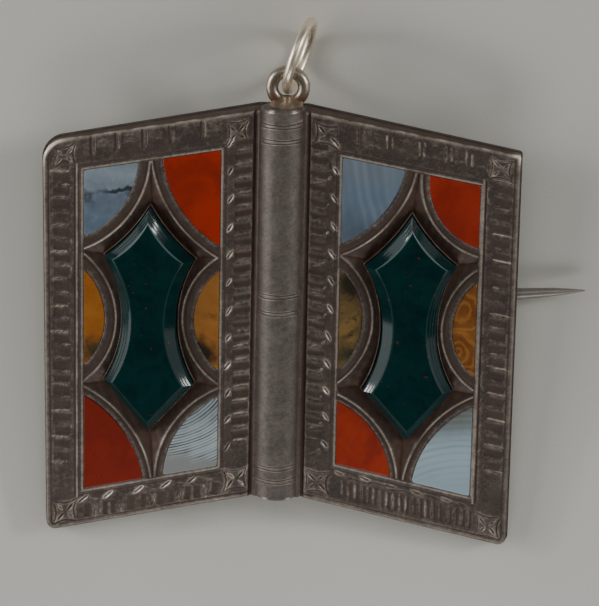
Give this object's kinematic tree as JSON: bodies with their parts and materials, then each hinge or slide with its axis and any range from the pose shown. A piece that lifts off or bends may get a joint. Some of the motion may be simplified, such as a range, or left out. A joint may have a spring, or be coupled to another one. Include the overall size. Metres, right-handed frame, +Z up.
{
  "type": "book pendant brooch",
  "caption": "Silver brooch shaped like an open book, with inlaid agates and raised green stones on both covers, a hanging ring on the spine and a hinged pin with a catch on the back.",
  "frame": {"origin": "middle of the bounding box's underside, on the surface the brooch lies on", "axes": "+Z up from that surface; +Y along the spine towards the hanging ring; +X across the book to the right cover, where the pin's point sticks out"},
  "size_m": [0.046, 0.0456, 0.0074],
  "materials": {
    "tarnished_silver": "engraved silver, dulled grey-brown by tarnish",
    "polished_silver": "polished silver wire",
    "green_bloodstone": "polished dark green stone with fine red specks",
    "blue_agate": "polished grey-blue agate with darker bands",
    "red_jasper": "polished red jasper with darker mottling",
    "pale_banded_agate": "polished pale blue agate with fine bands",
    "orange_agate": "polished orange agate with dark moss-like spots",
    "olive_moss_agate": "polished olive and orange mottled agate"
  },
  "bodies": {
    "case": {"silver_case": "tarnished_silver", "left_green_stone": "green_bloodstone", "right_green_stone": "green_bloodstone", "left_upper_outer_blue_agate": "blue_agate", "left_upper_inner_red_jasper": "red_jasper", "left_lower_outer_red_jasper": "red_jasper", "left_lower_inner_banded_agate": "pale_banded_agate", "left_outer_side_moss_agate": "orange_agate", "left_inner_side_moss_agate": "orange_agate", "right_upper_inner_blue_agate": "blue_agate", "right_upper_outer_red_jasper": "red_jasper", "right_lower_inner_red_jasper": "red_jasper", "right_lower_outer_banded_agate": "pale_banded_agate", "right_inner_side_moss_agate": "olive_moss_agate", "right_outer_side_orange_agate": "orange_agate", "jump_ring": "polished_silver"},
    "rivet": {"pin_rivet": "tarnished_silver"},
    "pin": {"pin_stem": "tarnished_silver"}
  },
  "joints": [
    {"name": "pin_swing", "type": "hinge", "parent": "case", "child": "rivet", "pos_m": [-0.01828, -0.00372, 0.00082], "axis": [-0.0872, 0.9919, 0.0928], "range_deg": [0, 100]},
    {"name": "pin_latch", "type": "hinge", "parent": "rivet", "child": "pin", "pos_m": [-0.01828, -0.00372, 0.00082], "axis": [0, -0.0931, 0.9957], "range_deg": [0, 1.8]}
  ]
}
